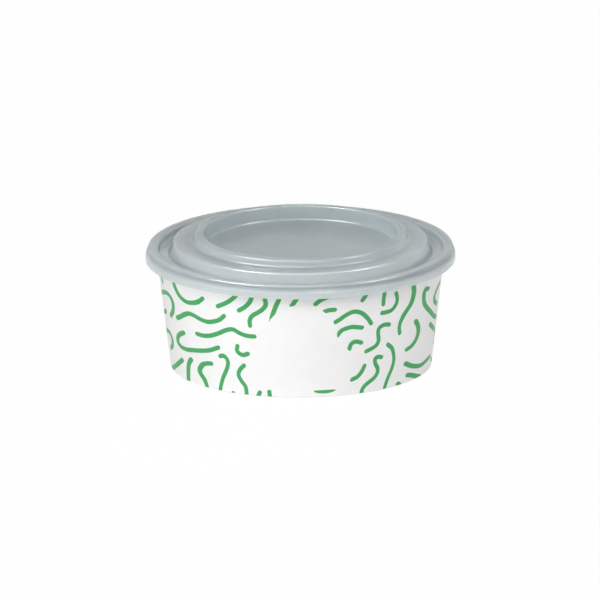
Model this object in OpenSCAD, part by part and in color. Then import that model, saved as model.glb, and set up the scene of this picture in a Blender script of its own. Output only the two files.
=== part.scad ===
// Round paperboard salad bowl with a snap-on plastic lid. All sizes are in millimetres.
// The foot ring stands on z = 0, the axis is Z, and the glued side seam is at the back, on +Y.
// Every piece is a thin sheet turned about the axis, so each one is drawn as the path of one face
// of the sheet, in [radius, height], and is given its thickness sideways from that path.

/* [Bowl] */
// Outer diameter over the rolled rim
rim_d = 150; // [142:1:180]
// Outer diameter of the wall where it meets the table
foot_d = 129; // [110:1:134]
// Height from the table to the top of the rolled rim
bowl_h = 60; // [45:1:110]
// Thickness of the paperboard
board_t = 0.42; // [0.3:0.02:0.48]
// Thickness of the glue line between two layers of board
glue_t = 0.04; // [0.02:0.01:0.08]

/* [Rolled rim] */
// Outer diameter of the roll's section
curl_d = 4; // [3:0.1:5]
// How far the board is rolled round, in degrees
curl_turn = 300; // [240:5:310]

/* [Foot] */
// Height of the base panel's underside above the table
foot_recess = 7; // [5:0.5:14]
// Outside radius of the fold that the bowl stands on
fold_r = 0.5; // [0.5:0.02:0.6]
// Outside radius of the bend round the base panel
base_bend_r = 1.2; // [0.8:0.1:2]
// Space above the hem's cut edge, and below the cut edge of the base panel's flange
edge_gap = 0.2; // [0.1:0.05:0.5]

/* [Side seam] */
// Width of the glued overlap at the back
seam_w = 9; // [6:0.5:14]

/* [Lid skirt] */
// Thickness of the moulded plastic
lid_t = 0.5; // [0.4:0.05:0.7]
// Space between the lid's shoulder and the top of the rim
seat_gap = 0.1; // [0.05:0.05:0.3]
// Space between the skirt's upright band and the rolled rim
skirt_gap = 0.15; // [0.1:0.05:0.4]
// Height of the upright band under the shoulder
band_h = 1.8; // [1.4:0.1:2.4]
// How far the lower skirt stands out from the band
flare = 1.1; // [0.6:0.1:1.6]
// Height over which the skirt flares out
flare_h = 2.2; // [1.6:0.1:3]
// Height of the plain lower skirt
lower_skirt_h = 2.7; // [1.8:0.1:5]
// Radius of the snap bead inside the skirt
snap_r = 0.7; // [0.5:0.05:0.8]
// Space that the snap bead leaves round the rim
snap_gap = 0.1; // [0.05:0.05:0.3]
// Radius of the hollow bend where the skirt starts to flare
flare_r = 0.8; // [0.4:0.05:1]

/* [Lid crown] */
// Space between the lid's plug wall and the inside of the bowl
plug_gap = 0.3; // [0.2:0.05:0.8]
// Depth of the moat below the shoulder
moat_depth = 3.9; // [3:0.1:6]
// Width of the moat's floor
moat_w = 4.8; // [3:0.1:8]
// Height of the shelf above the shoulder
shelf_rise = 3; // [1:0.1:6]
// How far the wall of the lower step leans in
lower_run = 2.4; // [1:0.1:4]
// Width of the shelf
shelf_w = 9.4; // [5:0.1:14]
// Height of the crown ring above the shelf
ring_rise = 4.4; // [2.5:0.1:8]
// How far the wall of the upper step leans in
upper_run = 1.1; // [0.5:0.1:2]
// Width of the crown ring's flat top
ring_w = 2.2; // [2.2:0.1:6]
// Width of the slope round the outside of the flat top
slope_run = 2.5; // [2.2:0.1:4]
// How far that slope falls
slope_fall = 1; // [0.6:0.1:1.2]
// Radius that blends the slope into the flat top
slope_r = 4; // [2:0.5:4]
// Depth of the middle panel below the crown ring
recess_depth = 7.7; // [4:0.1:12]
// How far the wall of the recess leans in
recess_run = 0.3; // [0.2:0.1:2]
// Outside radius of the lid's convex edges
edge_r = 0.9; // [0.8:0.05:1.1]
// Radius of the lid's hollow corners
root_r = 1.2; // [0.6:0.1:1.6]

/* [Hidden] */

$fn = 96;
arc_step = 12;

rim_r = rim_d / 2;
foot_r = foot_d / 2;
curl_r = curl_d / 2;
curl_inner_r = curl_r - board_t;
curl_centre = [rim_r - curl_r, bowl_h - curl_r];

// The wall's outer face runs from the foot circle and just touches the inside of the roll.
wall_reach = [curl_centre.x - foot_r, curl_centre.y];
lean = acos(curl_inner_r / norm(wall_reach)) - atan2(wall_reach.y, wall_reach.x);

// Layers at the foot, counted inwards from the wall's outer face.
flange_depth = board_t + glue_t;
hem_depth = flange_depth + board_t + glue_t;
fold_depth = hem_depth + board_t;
hem_h = foot_recess - (base_bend_r - board_t) - edge_gap;
flange_foot = board_t + edge_gap;

// The overlap stops under the free edge of the roll.
seam_angle = seam_w / (PI * rim_d) * 360;
seam_top = bowl_h - curl_d - board_t;

// Heights on the lid's upper face.
shoulder_z = bowl_h + seat_gap + lid_t;
moat_z = shoulder_z - moat_depth;
shelf_z = shoulder_z + shelf_rise;
ring_z = shelf_z + ring_rise;
panel_z = ring_z - recess_depth;
band_z = shoulder_z - band_h;
flare_z = band_z - flare_h;
lip_z = flare_z - lower_skirt_h;
snap_z = bowl_h - curl_d;

// Radii on the lid's upper face, from the rim inwards.
band_r = rim_r + skirt_gap + lid_t;
lip_r = band_r + flare;
moat_outer_r = plug_r(moat_z);
moat_inner_r = moat_outer_r - moat_w;
shelf_outer_r = moat_inner_r - lower_run;
shelf_inner_r = shelf_outer_r - shelf_w;
ring_outer_r = shelf_inner_r - upper_run;
ring_flat_r = ring_outer_r - slope_run;
ring_inner_r = ring_flat_r - ring_w;
panel_r = ring_inner_r - recess_run;

// Radius at height z of the layer that lies depth inwards from the wall's outer face.
function wall_r(z, depth) = foot_r + z * tan(lean) - depth / cos(lean);

// Radius at height z of the lid's plug wall, which follows the inside of the bowl.
function plug_r(z) = wall_r(z, board_t + plug_gap + lid_t);

function unit(v) = v / norm(v);
function left(v) = [-v.y, v.x];
function flat(p) = [p.x, p.y];

// Points of an arc about c, from angle a0 to angle a1.
function arc(c, r, a0, a1) =
    let (n = ceil(abs(a1 - a0) / arc_step))
    [for (i = [0:n]) let (a = a0 + (a1 - a0) * i / n) c + r * [cos(a), sin(a)]];

// The arc of radius r that rounds the corner at p on the way from a to b.
function corner(a, p, b, r) =
    let (
        u = unit(a - p),
        w = unit(b - p),
        half = acos(u * w) / 2,
        centre = p + unit(u + w) * r / sin(half),
        first = p + u * r / tan(half) - centre,
        last = p + w * r / tan(half) - centre,
        start = atan2(first.y, first.x),
        turn = (atan2(last.y, last.x) - start + 540) % 360 - 180
    )
    arc(centre, r, start, start + turn);

// A path whose points may have a third number, the radius that rounds the corner there.
function rounded(path) =
    [for (i = [0:len(path) - 1])
        each len(path[i]) < 3
            ? [path[i]]
            : corner(flat(path[i - 1]), flat(path[i]), flat(path[i + 1]), path[i][2])];

// Direction of the path just before or just after its point i.
function along(path, i) =
    let (j = max(0, min(i, len(path) - 2)))
    unit(path[j + 1] - path[j]);

// The path moved sideways by d, to its left where d is positive.
function beside(path, d) =
    [for (i = [0:len(path) - 1])
        let (
            before = left(along(path, i - 1)),
            mitre = unit(before + left(along(path, i)))
        )
        path[i] + mitre * d / (mitre * before)];

// Outline of a sheet that has one face on the path and the other d to its left.
function sheet(path, d) =
    let (other = beside(path, d), last = len(other) - 1)
    concat(path, [for (i = [last:-1:0]) other[i]]);

// Printed face of the wall: up to the table from the hem's cut edge, round the fold, up the wall
// and round the inside of the rolled rim.
sidewall_path =
    let (
        roll = arc(curl_centre, curl_inner_r, 180 - lean, 180 - lean - curl_turn),
        foot = rounded([
            [wall_r(hem_h, fold_depth), hem_h],
            [wall_r(0, fold_depth), 0, fold_r],
            [wall_r(0, 0), 0, fold_r],
            roll[0]
        ])
    )
    concat(foot, [for (i = [1:len(roll) - 1]) roll[i]]);

// Upper face of the base panel and the outer face of its flange, which is glued in the hem.
base_path = rounded([
    [0, foot_recess + board_t],
    [wall_r(foot_recess + board_t, flange_depth), foot_recess + board_t, base_bend_r],
    [wall_r(flange_foot, flange_depth), flange_foot]
]);

// Upper face of the lid, from the middle panel out to the edge of the skirt.
lid_path = rounded([
    [0, panel_z],
    [panel_r, panel_z, root_r],
    [ring_inner_r, ring_z, edge_r],
    [ring_flat_r, ring_z, slope_r],
    [ring_outer_r, ring_z - slope_fall, edge_r],
    [shelf_inner_r, shelf_z, root_r],
    [shelf_outer_r, shelf_z, edge_r],
    [moat_inner_r, moat_z, root_r],
    [moat_outer_r, moat_z, root_r],
    [plug_r(shoulder_z), shoulder_z, edge_r],
    [band_r, shoulder_z, edge_r],
    [band_r, band_z, flare_r],
    [lip_r, flare_z, edge_r],
    [lip_r, lip_z]
]);

// The second layer of board where the two ends of the blank overlap.
module seam_overlap() {
    rotate([0, 0, 90 - seam_angle / 2])
        rotate_extrude(angle = seam_angle)
            polygon([
                [wall_r(fold_r, board_t / 2), fold_r],
                [wall_r(fold_r, -board_t), fold_r],
                [wall_r(seam_top, -board_t), seam_top],
                [wall_r(seam_top, board_t / 2), seam_top]
            ]);
}

// One folded blank: hem, fold, conical wall, overlapped seam and rolled rim.
module sidewall() {
    color("whitesmoke") {
        rotate_extrude() polygon(sheet(sidewall_path, board_t));
        seam_overlap();
    }
}

module base_disc() {
    color("white") rotate_extrude() polygon(sheet(base_path, -board_t));
}

// Bead inside the skirt, which holds the lid under the rolled rim.
module snap_bead() {
    rotate_extrude() translate([rim_r + snap_gap + snap_r, snap_z]) circle(r = snap_r);
}

module lid() {
    color("lightsteelblue") {
        rotate_extrude() polygon(sheet(lid_path, -lid_t));
        snap_bead();
    }
}

sidewall();
base_disc();
lid();
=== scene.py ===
# %% [markdown]
# # A printed paperboard salad bowl with a snap lid
#
# The real object is three thin sheets: a wall of coated board with a rolled rim and a folded foot, a round
# board panel glued into that foot, and a moulded plastic lid. All three are round, so each could be a solid
# turned on the Spin tool. Here each one is a section in radius and height that numpy carries round the axis,
# because the printed strokes then follow the same grid as the wall.

import bmesh
import bpy
import numpy as np
from mathutils import Matrix, Vector


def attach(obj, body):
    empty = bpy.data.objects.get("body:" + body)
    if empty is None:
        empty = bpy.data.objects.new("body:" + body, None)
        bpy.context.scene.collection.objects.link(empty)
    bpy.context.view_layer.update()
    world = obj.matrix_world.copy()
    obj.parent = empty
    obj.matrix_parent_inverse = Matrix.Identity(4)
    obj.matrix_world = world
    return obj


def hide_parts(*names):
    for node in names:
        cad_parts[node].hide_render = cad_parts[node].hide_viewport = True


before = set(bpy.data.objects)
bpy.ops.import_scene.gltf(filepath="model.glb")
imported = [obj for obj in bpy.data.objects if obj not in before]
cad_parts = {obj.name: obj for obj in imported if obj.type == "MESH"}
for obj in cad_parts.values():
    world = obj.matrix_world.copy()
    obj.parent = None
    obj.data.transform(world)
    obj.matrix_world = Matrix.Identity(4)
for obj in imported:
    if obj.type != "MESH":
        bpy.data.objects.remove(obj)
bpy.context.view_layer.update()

# %% [markdown]
# ## Drawing a section
#
# A sheet's section is a path of straight runs with rounded corners, and a second path one thickness to its
# side. A Bevel modifier could round the corners after the turn, but an arc in the path gives each edge its
# own exact radius, and the highlights on the lid depend on those radii.

# %% Arcs, rounded paths and parallel paths
MM = 0.001
CORNER_STEPS = 8


def arc(centre, radius, start, turn, steps):
    """Points on a circle: centre + radius (cos a, sin a), where a goes from start by turn, in radians."""
    angle = start + turn * np.linspace(0, 1, steps + 1)
    return np.array(centre) + radius * np.stack([np.cos(angle), np.sin(angle)], axis=1)


def unit(vector):
    """The vector divided by its own length."""
    return vector / np.linalg.norm(vector)


def corner_arc(before, corner, after, radius):
    """The arc that touches both runs at a corner: its centre is on the bisector, radius / sin(half) away."""
    first = unit(before - corner)
    last = unit(after - corner)
    half = np.arccos(first @ last) / 2
    centre = corner + unit(first + last) * radius / np.sin(half)
    enter = corner + first * radius / np.tan(half) - centre
    leave = corner + last * radius / np.tan(half) - centre
    start = np.arctan2(enter[1], enter[0])
    turn = (np.arctan2(leave[1], leave[0]) - start + 3 * np.pi) % (2 * np.pi) - np.pi
    return arc(centre, radius, start, turn, CORNER_STEPS)


def rounded(corners):
    """A path from the first corner to the last; each corner between is (radius, height, rounding)."""
    spots = np.array([corner[:2] for corner in corners], float)
    roundings = [corner[2] for corner in corners[1:-1]]
    inner = zip(spots, spots[1:], spots[2:], roundings)
    return np.vstack([spots[:1], *[corner_arc(*each) for each in inner], spots[-1:]])


def beside(path, distance):
    """The path moved to its left: each point goes along the mitre of the normals of its two runs."""
    run = np.diff(path, axis=0)
    normal = np.stack([-run[:, 1], run[:, 0]], axis=1) / np.linalg.norm(run, axis=1)[:, None]
    mitre = np.vstack([normal[:1], normal]) + np.vstack([normal, normal[-1:]])
    return path + 2 * distance * mitre / (mitre**2).sum(axis=1)[:, None]


def refined(path, step):
    """The same path with points added evenly on each run that is longer than step."""
    run = np.diff(path, axis=0)
    count = np.ceil(np.linalg.norm(run, axis=1) / step).astype(int)
    start = np.repeat(np.arange(len(run)), count)
    share = (np.arange(len(start)) - np.repeat(np.cumsum(count) - count, count)) / count[start]
    return np.vstack([path[start] + run[start] * share[:, None], path[-1:]])


# %% Turning a section into a mesh
CREASE = np.radians(40)


def turned_piece(name, body, radius, height, turn, closed):
    """A section carried round the axis, as an object that rides on a body of the frame.

    radius and height are grids with a row for each point of the section and a column for each angle of turn.
    A grid point lies at (radius cos turn, radius sin turn, height). The section runs anticlockwise, so each
    face goes one column on before it goes one row up, and points outwards.
    """
    rows, columns = radius.shape
    points = np.stack([radius * np.cos(turn), radius * np.sin(turn), height], axis=-1) * MM
    row = np.arange(rows if closed else rows - 1)[:, None]
    column = np.arange(columns)[None, :]
    this_row = row * columns
    next_row = (row + 1) % rows * columns
    next_column = (column + 1) % columns
    corners = [this_row + column, this_row + next_column, next_row + next_column, next_row + column]
    faces = np.stack(np.broadcast_arrays(*corners), axis=-1)
    mesh = bpy.data.meshes.new(name)
    mesh.from_pydata(points.reshape(-1, 3).tolist(), [], faces.reshape(-1, 4).tolist())
    mesh.validate()
    piece = bpy.data.objects.new(name, mesh)
    bpy.context.scene.collection.objects.link(piece)
    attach(piece, body)
    print(name, "has", len(mesh.vertices), "points and", len(mesh.polygons), "faces")
    return piece


def smooth(piece):
    """Smooth shading, with the board's cut edges and steps kept sharp."""
    piece.data.shade_smooth()
    piece.data.set_sharp_from_angle(angle=CREASE)


# %% [markdown]
# ## The folded wall
#
# The wall is one blank of board, bent to a cone. Its lower edge is folded in and up as a hem, its upper edge
# is rolled outwards, and its two ends overlap at the back. The path below is the printed face, from the hem's
# cut edge round the fold, up the wall and round the inside of the roll.

# %% Sizes of the board
BOARD = 0.42
GLUE = 0.04
FOOT_R = 64.5
FOLD_R = 0.5
ROLL_R = 2.0
ROLL_TURN = np.radians(300)
ROLL_STEPS = 26
ROLL_CENTRE = np.array([73.0, 58.0])
BASE_Z = 7.0
BASE_BEND_R = 1.2
EDGE_GAP = 0.2
FLANGE_DEPTH = BOARD + GLUE
FOLD_DEPTH = 2 * FLANGE_DEPTH + BOARD
HEM_H = BASE_Z - (BASE_BEND_R - BOARD) - EDGE_GAP

roll_inner_r = ROLL_R - BOARD
reach = ROLL_CENTRE - np.array([FOOT_R, 0])
lean = np.arccos(roll_inner_r / np.linalg.norm(reach)) - np.arctan2(reach[1], reach[0])
print("the wall leans out by", round(float(np.degrees(lean)), 2), "degrees")


def wall_radius(height, depth):
    """Radius of a layer of the cone: foot radius + height tan(lean) - depth / cos(lean)."""
    return FOOT_R + height * np.tan(lean) - depth / np.cos(lean)


# %% The printed face and the food side
STRIP_LOW = FOLD_R
STRIP_TOP = 55.58
STEP = 0.01
WALL_ROWS = 70
TOP_ROWS = 4
FOOD_SIDE_ROWS = 8


def fold_path():
    """From the hem's cut edge down to the table, round the two bends of the fold, and up to the wall."""
    return rounded([
        (wall_radius(HEM_H, FOLD_DEPTH), HEM_H),
        (wall_radius(0, FOLD_DEPTH), 0, FOLD_R),
        (wall_radius(0, 0), 0, FOLD_R),
        (wall_radius(STRIP_LOW, 0), STRIP_LOW),
    ])[:-1]


def roll_path():
    """The inside of the rolled rim, an arc that starts where the wall touches it."""
    return arc(ROLL_CENTRE, roll_inner_r, np.pi - lean, -ROLL_TURN, ROLL_STEPS)


def board_path(heights):
    """The whole face of the blank, with the wall's rows at the given heights."""
    wall = np.stack([wall_radius(heights, 0), heights], axis=1)
    return np.vstack([fold_path(), wall, roll_path()])


wall_heights = np.concatenate([
    [STRIP_LOW - STEP],
    np.linspace(STRIP_LOW + STEP, STRIP_TOP - STEP, WALL_ROWS),
    np.linspace(STRIP_TOP + STEP, ROLL_CENTRE[1], TOP_ROWS),
])
printed_face = board_path(wall_heights)
food_face = beside(board_path(np.linspace(STRIP_LOW, ROLL_CENTRE[1], FOOD_SIDE_ROWS)), BOARD)
wall_outline = np.vstack([printed_face, food_face[::-1]])
wall_rows = np.arange(len(wall_heights)) + len(fold_path())
print("the wall's section has", len(wall_outline), "points")

# %% [markdown]
# ## The glued overlap
#
# At the back the blank's two ends lie one on the other, so a narrow strip stands one board thickness proud.
# A second sheet could be laid there. Instead the same grid steps outwards: two columns of points close
# together make each side of the strip, and two close rows make its top.

# %% The wall with its overlap
BACK = np.pi / 2
FRONT = -np.pi / 2
STRIP_HALF = np.radians(6.875) / 2
STRIP_STEP = np.radians(0.01)
WALL_COLUMNS = 472
STRIP_COLUMNS = 10

strip_start = BACK - STRIP_HALF
strip_end = BACK + STRIP_HALF
wall_turn = np.concatenate([
    np.linspace(strip_end - 2 * np.pi + STRIP_STEP, strip_start - STRIP_STEP, WALL_COLUMNS),
    np.linspace(strip_start + STRIP_STEP, strip_end - STRIP_STEP, STRIP_COLUMNS),
])
on_strip = np.zeros((len(wall_outline), len(wall_turn)))
strip_rows = wall_rows[(wall_heights > STRIP_LOW) & (wall_heights < STRIP_TOP)]
on_strip[strip_rows, WALL_COLUMNS:] = 1

wall_r = wall_outline[:, :1] + on_strip * BOARD / np.cos(lean)
wall_z = np.broadcast_to(wall_outline[:, 1:], wall_r.shape)
wall = turned_piece("bowl_wall", "bowl", wall_r, wall_z, wall_turn, closed=True)
smooth(wall)
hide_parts("sidewall")

# %% [markdown]
# ## The printed strokes
#
# The print is a scatter of short wavy strokes in one green, with round ends and one width, round a bare place
# at the front. Strokes could be meshes laid on the wall, but ink has no thickness. So each stroke is a smooth
# curve through a few points, in millimetres along the wall and above the table, and every point of the wall
# gets its distance to the nearest stroke. The finish turns that distance into ink.

# %% Strokes round the bare place
left_strokes = [
    [(-43, 45), (-38, 47.5), (-34.5, 50), (-31, 53.5), (-29, 56)],
    [(-31, 44.5), (-28, 46.5), (-25.5, 49), (-24, 52), (-23, 56)],
    [(-25.5, 37), (-25.5, 40), (-24, 42.5), (-21, 44.5), (-18.5, 46.5), (-17, 49), (-17.5, 52.5),
     (-18.5, 56)],
    [(-9.5, 56), (-10.5, 52), (-12, 48.5), (-13.5, 44.5), (-14.5, 41), (-15, 38)],
    [(-1, 54), (-4.5, 48.5)],
    [(-58.5, 27.5), (-54, 27.5), (-49, 28.5), (-44, 30.5), (-39, 33), (-35, 34), (-31.5, 32.5), (-27.5, 31.5),
     (-23.5, 31.5)],
    [(-33, 25.5), (-33.5, 23), (-32, 21.5), (-30, 21), (-27.5, 22)],
    [(-30, 15.5), (-32.5, 13), (-33.5, 10), (-32, 7), (-30, 4.5), (-29.5, 1), (-30, -2)],
    [(-37.5, 0), (-38.5, -3)],
    [(-22, 2), (-23.5, -1)],
    [(-17, 8), (-17, 4), (-16.5, -1)],
    [(-77, 54.5), (-75.5, 51), (-73.5, 47.5), (-70, 44.5), (-65, 43), (-60, 43.5), (-55.5, 45), (-52, 47.5)],
    [(-59, 54), (-55, 53.5), (-50, 53.5)],
    [(-75.5, 32), (-72, 33.5), (-68, 35.5), (-64, 37), (-60, 37), (-55.5, 36), (-50.5, 35.5), (-46, 36.5),
     (-42.5, 38), (-39.5, 40.5)],
    [(-70.5, 25.5), (-75, 23.5), (-78, 21), (-78, 18.5), (-74.5, 17), (-69, 17), (-63, 18), (-57, 19),
     (-50.5, 20.5), (-44.5, 23)],
    [(-44, 18.5), (-41.5, 19), (-39.5, 17), (-39.5, 14.5), (-41, 11), (-43.5, 6.5), (-45.5, 1), (-46, -2)],
    [(-50, 13.5), (-53.5, 13), (-57, 11.5), (-59.5, 8.5), (-59, 6.5), (-56.5, 4), (-55, 1.5), (-54.5, -2)],
    [(-66, 12.5), (-68.5, 10), (-70, 6.5), (-71, 1.5), (-71.5, -2)],
    [(-75.5, 10), (-80, 7.5), (-85, 5), (-89.5, 3), (-95, 1), (-100, -1)],
    [(-101, 38.5), (-94, 40.5), (-88, 42), (-83, 42), (-79.5, 40), (-79, 37), (-80.5, 34), (-84, 31)],
    [(-99, 51), (-95, 49), (-92, 46.5)],
    [(-104, 18), (-97, 20), (-91, 20.5), (-87, 18.5), (-87.5, 15), (-92, 12)],
    [(-105, 28), (-99, 29), (-93, 31)],
]
right_strokes = [
    [(7, 49.5), (9.5, 51.5), (13, 53), (17, 54)],
    [(9, 44), (12, 45.5), (14, 46), (16.5, 46)],
    [(13, 38), (16, 39), (19, 40.5), (22, 42.5), (26, 44), (30, 43), (33.5, 40), (36, 36.5)],
    [(18, 32), (20, 34.5), (22.5, 35.5), (25.5, 36), (28.5, 35.5), (31, 35)],
    [(24.5, 24), (25.5, 27), (28, 28), (31, 27)],
    [(4, 5.5), (8, 3.5), (12, 3), (16, 3.5), (19.5, 5.5)],
    [(33.5, 14.5), (32, 11.5), (29.5, 9), (26.5, 8)],
    [(43.5, 17.5), (41, 18), (39.5, 17), (40, 14.5), (41.5, 12), (41.5, 9.5), (39.5, 7), (36, 5), (33.5, 3),
     (32.5, 0.5), (33, -2)],
    [(47, 23.5), (50, 21), (51.5, 17.5), (52, 14), (51, 10), (48.5, 5), (47, 0.5), (46.5, -2)],
    [(34, 22), (37, 23), (40, 24.5), (41, 27), (40.5, 30), (40.5, 32.5), (42, 34), (44.5, 34.5), (47, 34)],
    [(42, 41), (45, 41), (48, 41.5), (50.5, 44), (51, 47), (50, 50)],
    [(42.5, 45.5), (42.5, 49), (43, 53), (43.5, 56)],
    [(30.5, 49.5), (32, 51.5), (33.5, 54.5)],
    [(61, 54), (62.5, 50.5), (63, 46.5), (61.5, 42), (58, 38.5), (55, 35), (54, 31.5), (54.5, 28)],
    [(67, 31.5), (69.5, 28.5), (70.5, 25), (69, 21.5), (65.5, 19), (61.5, 18)],
    [(76.5, 46), (73.5, 46.5), (72.5, 43.5), (74, 39), (78, 35.5), (83.5, 32), (89.5, 28.5), (96.5, 26)],
    [(96, 44), (90, 42), (87, 39.5), (88, 36.5), (93, 34)],
    [(84.5, 25.5), (89, 23), (94, 20.5)],
    [(61.5, 10.5), (66, 8.5), (71, 7), (77.5, 6), (84.5, 6.5), (91, 7)],
    [(64, 4), (68, 3), (72.5, 1.5), (77.5, 0)],
    [(56.5, 1), (59, -1)],
    [(101, 51), (104, 47.5), (104, 43)],
    [(98, 19), (102, 16), (101, 11.5)],
    [(97, 4), (103, 2.5), (107, -1)],
]
# On the back there is no bare place, and these strokes fill it.
middle_strokes = [
    [(-20, 38), (-17, 35.5), (-12, 35), (-8, 37.5), (-5, 41), (-1, 43.5)],
    [(2, 47), (3, 43.5), (7, 41), (11, 40.5)],
    [(-18, 28), (-14, 29.5), (-9, 29), (-5, 31), (-2.5, 35)],
    [(2, 36), (5, 33), (9.5, 32), (13, 30)],
    [(-24, 26), (-20, 24), (-15, 23.5), (-11, 25), (-7, 24)],
    [(-2, 28), (0.5, 25), (5, 24), (10, 26), (15, 26), (20, 24)],
    [(-25, 17), (-21, 18.5), (-17, 17), (-14, 13.5), (-14, 10)],
    [(-9, 19), (-5, 18), (-2, 14.5), (-2.5, 10.5), (-6, 8)],
    [(4, 19), (8, 19.5), (11.5, 17), (11, 13.5), (7.5, 11.5), (5, 8.5)],
    [(16, 20), (19, 17), (22, 15), (27, 15)],
    [(17, 11), (20, 8.5), (22, 6)],
]
print("the print has", len(left_strokes) + len(right_strokes), "strokes at the front")

# %% Distance to the ink
STROKE_W = 2.3
SIDE_START = 55
SIDE_PRESS = 0.62
CURVE_STEPS = 8
FAR = 4.0


def stroke_curve(points):
    """A curve through the points: a cubic between each two, with slopes from the points either side."""
    spots = np.array(points, float)
    spots = np.vstack([2 * spots[0] - spots[1], spots, 2 * spots[-1] - spots[-2]])
    share = np.linspace(0, 1, CURVE_STEPS, endpoint=False)[None, :, None]
    before, start, end, after = spots[:-3, None], spots[1:-2, None], spots[2:-1, None], spots[3:, None]
    bend = (2 * before - 5 * start + 4 * end - after) * share**2
    twist = (3 * start - before - 3 * end + after) * share**3
    curve = start + ((end - before) * share + bend + twist) / 2
    return np.vstack([curve.reshape(-1, 2), spots[-2:-1]])


def distance_to_curve(places, curve):
    """The least distance from each place to the curve's runs, measured to the nearest point of each run."""
    run = np.diff(curve, axis=0)
    offset = places[:, None] - curve[None, :-1]
    share = np.clip((offset * run).sum(axis=2) / (run**2).sum(axis=1), 0, 1)
    return np.linalg.norm(offset - share[:, :, None] * run, axis=2).min(axis=1)


def pressed(across):
    """The place along the wall, with what lies beyond SIDE_START on either side shortened by SIDE_PRESS."""
    middle = np.clip(across, -SIDE_START, SIDE_START)
    return middle + SIDE_PRESS * (across - middle)


def ink_edge(across, up, strokes):
    """Distance from each grid point to the edge of the nearest stroke: under zero inside the ink.

    Distances are taken after both have been pressed at the sides, so upright strokes are broader there.
    """
    across = pressed(across)
    nearest = np.full(across.shape, FAR)
    for points in strokes:
        curve = stroke_curve(points)
        curve[:, 0] = pressed(curve[:, 0])
        low, high = curve.min(axis=0) - FAR, curve.max(axis=0) + FAR
        near = (across > low[0]) & (across < high[0]) & (up > low[1]) & (up < high[1])
        places = np.stack([across[near], up[near]], axis=1)
        nearest[near] = np.minimum(nearest[near], distance_to_curve(places, curve))
    return nearest - STROKE_W / 2


# %% The bare place and the copies at the back
PRINT_R = 68.0
BARE_CENTRE = (0, 31)
BARE_R = 18
PLATE_CENTRE = (0, 15)
PLATE_HALF = (27, 11.3)
PLATE_CORNER = 9
COPY_SHIFTS = (-211, 213)


def bare_place(across, up):
    """Distance to the bare place, a circle joined to a rounded box: under zero inside it."""
    circle = np.hypot(across - BARE_CENTRE[0], up - BARE_CENTRE[1]) - BARE_R
    side = np.abs(across - PLATE_CENTRE[0]) - PLATE_HALF[0] + PLATE_CORNER
    top = np.abs(up - PLATE_CENTRE[1]) - PLATE_HALF[1] + PLATE_CORNER
    box = np.hypot(np.maximum(side, 0), np.maximum(top, 0)) + np.minimum(np.maximum(side, top), 0)
    return np.minimum(circle, box - PLATE_CORNER)


# On the wall the print's height is the height above the table, and round the fold it goes on along the board.
run_length = np.linalg.norm(np.diff(printed_face, axis=0), axis=1)
print_up = np.concatenate([[0], np.cumsum(run_length)])
print_up = print_up - print_up[wall_rows[0]] + wall_heights[0]
print_up[wall_rows] = wall_heights
printed_rows = np.arange(wall_rows[-1] + 1)
up, across = np.meshgrid(print_up[printed_rows], (wall_turn - FRONT) * PRINT_R, indexing="ij")

front_strokes = left_strokes + right_strokes
front_ink = np.maximum(ink_edge(across, up, front_strokes), -bare_place(across, up))
back_ink = [ink_edge(across - shift, up, front_strokes + middle_strokes) for shift in COPY_SHIFTS]
ink_grid = np.full(wall_r.shape, FAR)
ink_grid[printed_rows] = np.minimum(front_ink, np.minimum(*back_ink))
wall.data.attributes.new("ink_edge", "FLOAT", "POINT").data.foreach_set("value", ink_grid.ravel())
print("ink covers", round(100 * float((ink_grid[wall_rows] < 0).mean())), "percent of the wall")

# %% [markdown]
# ## The base panel
#
# A disc of the same board closes the foot. Its rim is bent down into a flange, which is glued between the
# wall and the hem. Its section starts on the axis and comes back to it, so the points on the axis are merged
# to close both poles.

# %% The base panel
BASE_COLUMNS = 192
BASE_STEP = 6.0
FLANGE_FOOT = BOARD + EDGE_GAP
MERGE_STEP = STEP / 10


def close_poles(piece):
    """Merges the points that coincide on the axis."""
    work = bmesh.new()
    work.from_mesh(piece.data)
    bmesh.ops.remove_doubles(work, verts=work.verts, dist=MM * MERGE_STEP)
    work.to_mesh(piece.data)
    work.free()


def turned_sheet(name, body, upper_face, lower_face, columns):
    """A sheet turned about the axis from its upper and lower faces, both drawn from the axis outwards."""
    outline = np.vstack([lower_face, upper_face[::-1]])
    turn = np.linspace(0, 2 * np.pi, columns, endpoint=False)
    radius = np.repeat(outline[:, :1], columns, axis=1)
    height = np.repeat(outline[:, 1:], columns, axis=1)
    piece = turned_piece(name, body, radius, height, turn, closed=False)
    close_poles(piece)
    smooth(piece)
    return piece


base_top = BASE_Z + BOARD
base_path = refined(rounded([
    (0, base_top),
    (wall_radius(base_top, FLANGE_DEPTH), base_top, BASE_BEND_R),
    (wall_radius(FLANGE_FOOT, FLANGE_DEPTH), FLANGE_FOOT),
]), BASE_STEP)
base = turned_sheet("base_panel", "bowl", base_path, beside(base_path, -BOARD), BASE_COLUMNS)
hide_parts("base_disc")

# %% [markdown]
# ## The lid
#
# The lid is moulded in one piece. From the middle it is a sunk panel, a raised ring with a sloping shoulder,
# a shelf, a step down into a moat that plugs the bowl, a shoulder over the rolled rim and a flared skirt. A
# bead inside the skirt snaps under the roll. Drawing the upper face and setting the lower face one thickness
# below it keeps the wall even, as a mould does.

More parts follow.
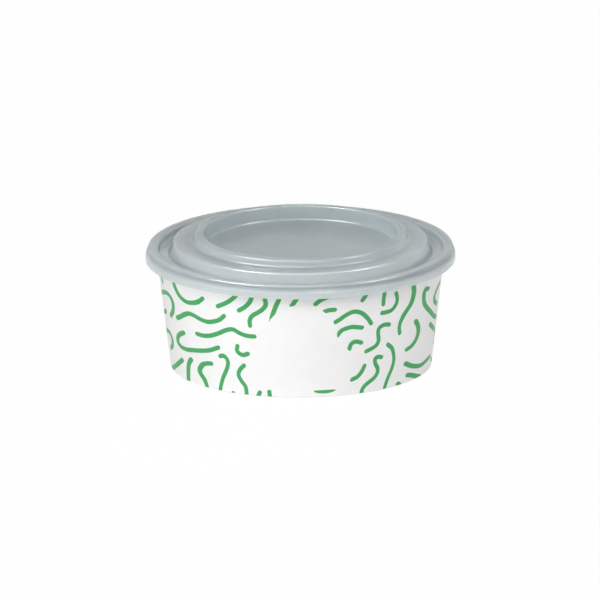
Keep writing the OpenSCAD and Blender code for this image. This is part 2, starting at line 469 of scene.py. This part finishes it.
# %% The lid's upper face
LID = 0.5
LID_COLUMNS = 288
LID_STEP = 5.0
EDGE_R = 1.4
SKIRT_EDGE_R = 0.9
ROOT_R = 1.2
SLOPE_R = 4.0
FLARE_R = 0.8
PANEL_Z = 60.3
RING_Z = 68.0
RING_INNER_R = 47.63
RING_FLAT_R = 49.83
RING_OUTER_R = 52.33
SLOPE_Z = 67.0
SHELF_INNER_R = 53.43
SHELF_OUTER_R = 62.83
SHELF_Z = 63.6
MOAT_INNER_R = 65.23
MOAT_Z = 56.7
SHOULDER_Z = 60.6
BAND_R = 75.65
BAND_Z = 58.8
SKIRT_R = 76.75
FLARE_Z = 56.6
SKIRT_FOOT_Z = 53.9
PANEL_LEAN = 0.3
PLUG_GAP = 0.3
PLUG_DEPTH = BOARD + PLUG_GAP + LID

lid_path = rounded([
    (0, PANEL_Z),
    (RING_INNER_R - PANEL_LEAN, PANEL_Z, ROOT_R),
    (RING_INNER_R, RING_Z, EDGE_R),
    (RING_FLAT_R, RING_Z, SLOPE_R),
    (RING_OUTER_R, SLOPE_Z, EDGE_R),
    (SHELF_INNER_R, SHELF_Z, ROOT_R),
    (SHELF_OUTER_R, SHELF_Z, EDGE_R),
    (MOAT_INNER_R, MOAT_Z, ROOT_R),
    (wall_radius(MOAT_Z, PLUG_DEPTH), MOAT_Z, ROOT_R),
    (wall_radius(SHOULDER_Z, PLUG_DEPTH), SHOULDER_Z, EDGE_R),
    (BAND_R, SHOULDER_Z, EDGE_R),
    (BAND_R, BAND_Z, FLARE_R),
    (SKIRT_R, FLARE_Z, SKIRT_EDGE_R),
    (SKIRT_R, SKIRT_FOOT_Z),
])
print("the lid's upper face has", len(lid_path), "points")

# %% The lid's lower face with its snap bead
BEAD_CENTRE = (75.8, 56.0)
BEAD_R = 0.7
BEAD_START = np.radians(54.5)
BEAD_END = np.radians(310)
BEAD_STEPS = 18

# The bead takes the place of the lower face's last bend, so that bend's points and the end are cut off first.
lower_path = beside(lid_path, -LID)
bead = arc(BEAD_CENTRE, BEAD_R, BEAD_START, BEAD_END - BEAD_START, BEAD_STEPS)
skirt_bend = CORNER_STEPS + 2
lower_path = np.vstack([lower_path[:-skirt_bend], bead, lower_path[-1:]])
lid_faces = [refined(face, LID_STEP) for face in (lid_path, lower_path)]
lid = turned_sheet("snap_lid", "lid", *lid_faces, LID_COLUMNS)
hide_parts("lid")

# %% [markdown]
# ## Writing finishes
#
# A finish is a graph of nodes. It could be wired by hand in the Shader Editor. Here a socket is wrapped so
# that plain arithmetic adds the Math nodes, and one method adds any other node.

# %% A small language for nodes
NOISE_MIDDLE = 0.5


class Wire:
    """An output socket that takes part in arithmetic: each operator adds one Math node."""

    def __init__(self, nodes, socket):
        self.nodes = nodes
        self.socket = socket

    def __add__(self, other):
        return self.nodes.add("Math", {"operation": "ADD"}, {0: self, 1: other})

    __radd__ = __add__

    def __sub__(self, other):
        return self.nodes.add("Math", {"operation": "SUBTRACT"}, {0: self, 1: other})

    def __rsub__(self, other):
        return self.nodes.add("Math", {"operation": "SUBTRACT"}, {0: other, 1: self})

    def __mul__(self, other):
        return self.nodes.add("Math", {"operation": "MULTIPLY"}, {0: self, 1: other})

    __rmul__ = __mul__


class Nodes:
    """The node graph of a material or of the world."""

    def __init__(self, owner):
        owner.use_nodes = True
        self.tree = owner.node_tree
        self.tree.nodes.clear()

    def add(self, kind, settings, sockets, output=0):
        """Adds a node: its settings are set first, then each socket gets a value or a wire."""
        node = self.tree.nodes.new("ShaderNode" + kind)
        for name, value in settings.items():
            setattr(node, name, value)
        for name, value in sockets.items():
            if isinstance(value, Wire):
                self.tree.links.new(value.socket, node.inputs[name])
            else:
                node.inputs[name].default_value = value
        return Wire(self, node.outputs[output]) if node.outputs else None

    def noise(self, place, scale, detail):
        """Smooth noise from 0 to 1 with scale features to the metre."""
        return self.add("TexNoise", {}, {"Vector": place, "Scale": scale, "Detail": detail})

    def blend(self, share, first, second):
        """The colour that goes from first to second as share goes from 0 to 1.

        A Mix node has its colours on inputs 6 and 7 and on output 2.
        """
        return self.add("Mix", {"data_type": "RGBA"}, {0: share, 6: first, 7: second}, 2)

    def ramp(self, value, start, end):
        """Goes smoothly from 0 to 1 as the value goes from start to end, which may be the lower one."""
        sockets = {"Value": value, "From Min": start, "From Max": end}
        return self.add("MapRange", {"interpolation_type": "SMOOTHSTEP"}, sockets)


# %% [markdown]
# ## Coated board
#
# The board is white with a satin coat that mirrors little. Close up it has soft clouds from the pulp and a
# fine grain that shows through the coat. The ink lies a little smoother than the board, with slightly rough
# edges.

# %% Printed board and plain board
BOARD_LIGHT = (0.90, 0.90, 0.895, 1)
BOARD_DARK = (0.85, 0.85, 0.845, 1)
INK_LIGHT = (0.077, 0.395, 0.134, 1)
INK_DARK = (0.061, 0.356, 0.115, 1)
BOARD_GLOSS = 0.15
BOARD_ROUGH = 0.42
BOARD_ROUGH_GRAIN = 0.16
INK_SMOOTHING = 0.08
INK_EDGE_SOFT = 0.09
INK_EDGE_GRAIN = 0.08
CLOUD_SCALE = 160
CLOUD_DETAIL = 3
GRAIN_SCALE = 1400
GRAIN_DETAIL = 4
GRAIN_HEIGHT = 0.00004
GRAIN_BUMP = 0.3


def board_finish(name, printed):
    """Coated board: two whites mixed by clouds, ink by distance, roughness and bump from the grain."""
    material = bpy.data.materials.new(name)
    nodes = Nodes(material)
    place = nodes.add("TexCoord", {}, {}, "Object")
    clouds = nodes.noise(place, CLOUD_SCALE, CLOUD_DETAIL)
    grain = nodes.noise(place, GRAIN_SCALE, GRAIN_DETAIL)
    colour = nodes.blend(clouds, BOARD_DARK, BOARD_LIGHT)
    rough = BOARD_ROUGH + BOARD_ROUGH_GRAIN * grain
    if printed:
        edge = nodes.add("Attribute", {"attribute_name": "ink_edge"}, {}, "Fac")
        edge = edge + INK_EDGE_GRAIN * (grain - NOISE_MIDDLE)
        ink = nodes.ramp(edge, INK_EDGE_SOFT, -INK_EDGE_SOFT)
        colour = nodes.blend(ink, colour, nodes.blend(clouds, INK_DARK, INK_LIGHT))
        rough = rough - INK_SMOOTHING * ink
    normal = nodes.add("Bump", {}, {"Strength": GRAIN_BUMP, "Distance": GRAIN_HEIGHT, "Height": grain})
    shader = nodes.add("BsdfPrincipled", {}, {
        "Base Color": colour,
        "Roughness": rough,
        "Specular IOR Level": BOARD_GLOSS,
        "Normal": normal,
    })
    nodes.add("OutputMaterial", {}, {"Surface": shader})
    return material


wall.data.materials.append(board_finish("printed_board", printed=True))
base.data.materials.append(board_finish("plain_board", printed=False))
print("board finishes:", wall.data.materials[0].name, base.data.materials[0].name)

# %% [markdown]
# ## Hazy plastic
#
# The lid is natural polypropylene, which is never quite clear: it is greyish and slightly cloudy, with a
# gloss that the mould's faint ripples break up, and its skirt is frosted for grip. A glass shader would bend
# every ray through two close faces and keep the bowl dark. A thin sheet only tints what is behind it and
# scatters the rest, so the finish mixes a tinted Transparent shader with a glossy grey by the haze. The haze
# is denser from the shelf outwards, in the moat and on the frosted skirt. The moat and the upright band
# above the skirt get a darker grey as painted shade, for the shade in the moat's groove and in the gap
# behind the band. Lamp light passes more easily than sight does, because scattered light still arrives, so
# shadow rays meet less haze.

# %% Lid plastic
PLASTIC_LIGHT = (0.655, 0.712, 0.727, 1)
PLASTIC_DARK = (0.615, 0.672, 0.687, 1)
SKIRT_GREY = (0.50, 0.555, 0.57, 1)
# BAND_PAINTED_SHADE is painted shade: a darker grey for the shade in the gap behind the upright band.
BAND_PAINTED_SHADE = (0.34, 0.385, 0.40, 1)
# MOAT_PAINTED_SHADE is painted shade: a darker grey for the shade in the moat's groove.
MOAT_PAINTED_SHADE = (0.37, 0.412, 0.427, 1)
PLASTIC_TINT = (0.885, 0.915, 0.92, 1)
HAZE = 0.40
HAZE_CLOUDS = 0.06
SHELF_HAZE = 0.22
MOAT_HAZE = 0.35
SKIRT_HAZE = 0.35
SHADOW_LOSS = 0.85
PLASTIC_ROUGH = 0.15
PLASTIC_ROUGH_CLOUDS = 0.08
PLASTIC_IOR = 1.49
PLASTIC_GLOSS = 0.9
PLASTIC_SCATTER = 0.8
SCATTER_SHARES = (1, 1, 1)
SCATTER_REACH = 0.004
PLASTIC_CLOUD_SCALE = 60
RIPPLE_SCALE = 90
RIPPLE_DETAIL = 1
RIPPLE_HEIGHT = 0.0003
RIPPLE_BUMP = 0.25
LEVEL = (1, 1, 0)


def lid_finish(name):
    """Hazy plastic: haze, which differs by radius and height, mixes tinted see-through with a glossy grey."""
    material = bpy.data.materials.new(name)
    nodes = Nodes(material)
    place = nodes.add("TexCoord", {}, {}, "Object")
    up = nodes.add("SeparateXYZ", {}, {"Vector": place}, "Z")
    flat = nodes.add("VectorMath", {"operation": "MULTIPLY"}, {0: place, 1: LEVEL})
    out = nodes.add("VectorMath", {"operation": "LENGTH"}, {0: flat}, "Value")
    shelf = nodes.ramp(out, SHELF_INNER_R * MM, SHELF_OUTER_R * MM)
    moat = nodes.ramp(up, SHOULDER_Z * MM, MOAT_Z * MM)
    skirt = nodes.ramp(out, (BAND_R - EDGE_R) * MM, BAND_R * MM)
    frost = nodes.ramp(up, BAND_Z * MM, FLARE_Z * MM)
    clouds = nodes.noise(place, PLASTIC_CLOUD_SCALE, CLOUD_DETAIL)
    ripples = nodes.noise(place, RIPPLE_SCALE, RIPPLE_DETAIL)
    shadow = nodes.add("LightPath", {}, {}, "Is Shadow Ray")
    haze = HAZE + SHELF_HAZE * shelf + MOAT_HAZE * moat * (1 - skirt) + SKIRT_HAZE * frost
    haze = (haze + HAZE_CLOUDS * (clouds - NOISE_MIDDLE)) * (1 - SHADOW_LOSS * shadow)
    waves = {"Strength": RIPPLE_BUMP, "Distance": RIPPLE_HEIGHT, "Height": ripples}
    normal = nodes.add("Bump", {}, waves)
    clear = nodes.add("BsdfTransparent", {}, {"Color": PLASTIC_TINT})
    # The moat's darker grey is painted shade; elsewhere the crown is the plastic's own grey, varied by
    # clouds.
    crown_grey_and_moat_shade = nodes.blend(moat, nodes.blend(clouds, PLASTIC_DARK, PLASTIC_LIGHT), MOAT_PAINTED_SHADE)
    # The band's darker grey is painted shade; the skirt's grey below it is the frosted plastic.
    skirt_grey_and_band_shade = nodes.blend(frost, BAND_PAINTED_SHADE, SKIRT_GREY)
    grey = nodes.add("BsdfPrincipled", {}, {
        "Base Color": nodes.blend(skirt, crown_grey_and_moat_shade, skirt_grey_and_band_shade),
        "Roughness": PLASTIC_ROUGH + PLASTIC_ROUGH_CLOUDS * clouds,
        "IOR": PLASTIC_IOR,
        "Specular IOR Level": PLASTIC_GLOSS,
        "Subsurface Weight": PLASTIC_SCATTER,
        "Subsurface Radius": SCATTER_SHARES,
        "Subsurface Scale": SCATTER_REACH,
        "Normal": normal,
    })
    sheet = nodes.add("MixShader", {}, {0: haze, 1: clear, 2: grey})
    nodes.add("OutputMaterial", {}, {"Surface": sheet})
    return material


lid.data.materials.append(lid_finish("lid_plastic"))
print("lid finish:", lid.data.materials[0].name)

# %% [markdown]
# ## Floor and light
#
# The object stands on a pale floor that runs out of the picture, under soft studio light. The floor and the
# world show as white to the camera and in reflections, while they light the object at a plain level. The
# floor is partly plain diffuse, so it keeps the bowl's soft shadow.

# %% Floor and world
FLOOR_HALF = 4.0
FLOOR_COLOUR = (0.86, 0.86, 0.86, 1)
FLOOR_GLOW = 0.985
WHITE = (1, 1, 1, 1)
AMBIENT = 0.205


def seen_directly(nodes):
    """One for rays from the camera and for mirror-like or clear ones, and zero for diffuse light."""
    kinds = ("Is Camera Ray", "Is Glossy Ray", "Is Transmission Ray")
    rays = sum(nodes.add("LightPath", {}, {}, kind) for kind in kinds)
    return nodes.add("Math", {"operation": "MINIMUM"}, {0: rays, 1: 1})


floor_sides = [(-1, -1), (1, -1), (1, 1), (-1, 1)]
floor_corners = [(x * FLOOR_HALF, y * FLOOR_HALF, 0) for x, y in floor_sides]
floor_mesh = bpy.data.meshes.new("floor")
floor_mesh.from_pydata(floor_corners, [], [(0, 1, 2, 3)])
floor = bpy.data.objects.new("floor", floor_mesh)
bpy.context.scene.collection.objects.link(floor)

floor_material = bpy.data.materials.new("pale_floor")
floor_nodes = Nodes(floor_material)
floor_plain = floor_nodes.add("BsdfDiffuse", {}, {"Color": FLOOR_COLOUR})
floor_white = floor_nodes.add("Emission", {}, {"Color": WHITE, "Strength": 1})
floor_share = FLOOR_GLOW * seen_directly(floor_nodes)
floor_shader = floor_nodes.add("MixShader", {}, {0: floor_share, 1: floor_plain, 2: floor_white})
floor_nodes.add("OutputMaterial", {}, {"Surface": floor_shader})
floor_mesh.materials.append(floor_material)

world = bpy.data.worlds.new("studio")
bpy.context.scene.world = world
world_nodes = Nodes(world)
world_strength = AMBIENT + (1 - AMBIENT) * seen_directly(world_nodes)
world_light = world_nodes.add("Background", {}, {"Color": WHITE, "Strength": world_strength})
world_nodes.add("OutputWorld", {}, {"Surface": world_light})
print("floor and world are white to the camera, and the world lights at", AMBIENT)

# %% [markdown]
# ## Lamps
#
# The photograph is brightest along the front of the lid, so one soft box stands close there and its light
# falls off towards the back. Two lower ones, at the left and the right, reach the sides of the board. The
# dashes on the lid's round edges lie halfway between the camera and a lamp, which gives the directions of
# three gleams. One lamp could do both jobs, but a lamp that lights the walls well also shows in them as a
# square patch, so the boxes stay out of the gloss and the gleams light nothing else.

# %% Soft boxes and gleams
LAMP_AIM = Vector((0, 0, 0.03))


def soft_box(name, azimuth, elevation, distance, width, height, power, gleam):
    """A rectangular lamp aimed at the bowl, from azimuth degrees to the right of the front.

    Distances and sizes are in metres and power is in watts. A gleam shows only in gloss, and any other lamp
    never does.
    """
    turn, rise = np.radians(azimuth), np.radians(elevation)
    out = Vector((np.sin(turn) * np.cos(rise), -np.cos(turn) * np.cos(rise), np.sin(rise)))
    lamp = bpy.data.lights.new(name, "AREA")
    lamp.shape = "RECTANGLE"
    lamp.size = width
    lamp.size_y = height
    lamp.energy = power
    holder = bpy.data.objects.new(name, lamp)
    holder.location = LAMP_AIM + out * distance
    holder.rotation_euler = out.to_track_quat("Z", "Y").to_euler()
    holder.visible_diffuse = not gleam
    holder.visible_glossy = gleam
    bpy.context.scene.collection.objects.link(holder)
    print(name, "at", [round(c, 2) for c in holder.location])


soft_box("front_box", azimuth=-12, elevation=41, distance=0.28, width=0.4, height=0.16,
         power=0.53, gleam=False)
soft_box("left_box", azimuth=-56, elevation=14, distance=0.7, width=0.4, height=0.2,
         power=1.5, gleam=False)
soft_box("right_box", azimuth=72, elevation=12, distance=0.7, width=0.4, height=0.2,
         power=1.35, gleam=False)
soft_box("front_gleam", azimuth=-20, elevation=52, distance=0.9, width=1.2, height=0.3,
         power=10.0, gleam=True)
soft_box("left_gleam", azimuth=-61, elevation=48, distance=0.9, width=0.5, height=0.3,
         power=10.0, gleam=True)
soft_box("right_gleam", azimuth=72, elevation=48, distance=0.9, width=0.45, height=0.3,
         power=8.0, gleam=True)

# %% [markdown]
# ## Camera
#
# The photograph is taken from far away with a long lens, so the bowl's circles are plain ellipses and an
# orthographic camera fits it. Its tilt comes from how flat those ellipses are, and its scale from the rim.

# %% Camera
PICTURE_PIXELS = 600
PIXELS_PER_MM = 2.019
TILT = np.radians(15.5)
ROLL = np.radians(-0.4)
AIM_MM = 34.0
AIM_RIGHT_MM = -0.40
AIM_UP_MM = -1.63
CAMERA_DISTANCE = 1.0

toward_camera = Vector((0, -np.cos(TILT), np.sin(TILT)))
picture_right = Vector((1, 0, 0))
picture_up = toward_camera.cross(picture_right)
aim = Vector((0, 0, AIM_MM)) + picture_right * AIM_RIGHT_MM + picture_up * AIM_UP_MM

camera_data = bpy.data.cameras.new("camera")
camera_data.type = "ORTHO"
camera_data.ortho_scale = PICTURE_PIXELS / PIXELS_PER_MM * MM
camera = bpy.data.objects.new("camera", camera_data)
axes = Matrix((picture_right, picture_up, toward_camera)).transposed()
camera.rotation_euler = (axes @ Matrix.Rotation(ROLL, 3, "Z")).to_euler()
camera.location = aim * MM + toward_camera * CAMERA_DISTANCE
bpy.context.scene.collection.objects.link(camera)
bpy.context.scene.camera = camera
bpy.context.scene.view_settings.view_transform = "Standard"
print("camera sees", round(camera_data.ortho_scale, 4), "metres across")
